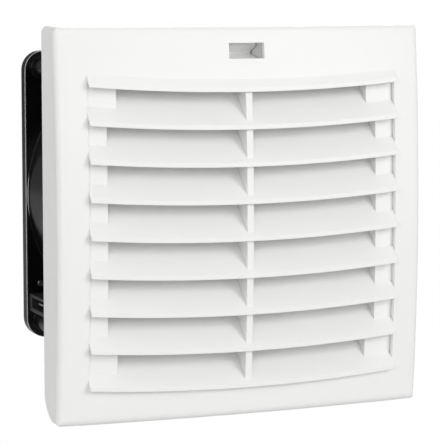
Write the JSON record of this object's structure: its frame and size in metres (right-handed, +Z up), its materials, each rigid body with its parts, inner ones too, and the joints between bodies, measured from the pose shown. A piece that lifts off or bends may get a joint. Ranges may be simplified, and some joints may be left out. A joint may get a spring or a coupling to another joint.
{
  "type": "enclosure filter fan",
  "caption": "Square enclosure filter fan: domed louvre cover hinged on a clip-in base frame with filter mat, and a square axial fan behind.",
  "frame": {"origin": "where the duct axis meets the mounting plane, which is the outer face of the enclosure wall", "axes": "+X right seen from the front, -Y out of the front through the louvre cover, +Y into the enclosure along the duct axis, +Z up"},
  "size_m": [0.15, 0.11, 0.1495],
  "materials": {
    "cover_plastic": "fine satin grain",
    "frame_plastic": "fine satin grain",
    "steel_pin": "drawn, bright",
    "gasket_rubber": "matt foam rubber",
    "filter_fleece": "needled fleece",
    "fan_casting": "black paint on die-cast metal",
    "zinc_steel": "zinc plated",
    "guard_wire": "bright plated wire",
    "blade_plastic": "satin",
    "rotor_steel": "black coated steel",
    "shaft_steel": "ground",
    "bearing_steel": "polished rings",
    "spring_steel": "blackened spring steel",
    "core_steel": "stacked laminations",
    "winding_copper": "enamelled copper wire",
    "plate_aluminium": "satin, bare",
    "block_plastic": "satin",
    "terminal_brass": "tinned brass"
  },
  "bodies": {
    "housing": {"base_frame": "frame_plastic", "filter_tray": "frame_plastic", "flange_gasket": "gasket_rubber", "filter_mat": "filter_fleece", "fan_frame": "fan_casting", "fan_screws": "zinc_steel", "finger_guard": "guard_wire", "front_bearing": "bearing_steel", "rear_bearing": "bearing_steel", "stator_core": "core_steel", "front_winding": "winding_copper", "rear_winding": "winding_copper", "rating_plate": "plate_aluminium", "terminal_block": "block_plastic", "spade_terminals": "terminal_brass", "earth_screw": "zinc_steel"},
    "cover": {"louvre_cover": "cover_plastic", "hinge_pin_left": "steel_pin", "hinge_pin_right": "steel_pin"},
    "latch": {"latch_tongue": "frame_plastic"},
    "rotor": {"impeller": "blade_plastic", "rotor_cup": "rotor_steel", "shaft": "shaft_steel", "circlip": "spring_steel"},
    "clip_upper_left": {"ratchet_clip_upper_left": "frame_plastic"},
    "clip_lower_left": {"ratchet_clip_lower_left": "frame_plastic"},
    "clip_upper_right": {"ratchet_clip_upper_right": "frame_plastic"},
    "clip_lower_right": {"ratchet_clip_lower_right": "frame_plastic"}
  },
  "joints": [
    {"name": "cover_hinge", "type": "hinge", "parent": "housing", "child": "cover", "pos_m": [0, -0.0098, -0.0698], "axis": [1, 0, 0], "range_deg": [0, 90]},
    {"name": "latch_slide", "type": "slide", "parent": "housing", "child": "latch", "axis": [0, 0, -1], "range_m": [0, 0.0026], "stiffness_N_per_m": 900},
    {"name": "impeller_spin", "type": "hinge", "parent": "housing", "child": "rotor", "pos_m": [0, 0, 0], "axis": [0, 1, 0], "continuous": true},
    {"name": "clip_upper_left_slide", "type": "slide", "parent": "housing", "child": "clip_upper_left", "axis": [1, 0, 0], "range_m": [0, 0.0017], "stiffness_N_per_m": 2500},
    {"name": "clip_lower_left_slide", "type": "slide", "parent": "housing", "child": "clip_lower_left", "axis": [1, 0, 0], "range_m": [0, 0.0017], "stiffness_N_per_m": 2500},
    {"name": "clip_upper_right_slide", "type": "slide", "parent": "housing", "child": "clip_upper_right", "axis": [-1, 0, 0], "range_m": [0, 0.0017], "stiffness_N_per_m": 2500},
    {"name": "clip_lower_right_slide", "type": "slide", "parent": "housing", "child": "clip_lower_right", "axis": [-1, 0, 0], "range_m": [0, 0.0017], "stiffness_N_per_m": 2500}
  ]
}
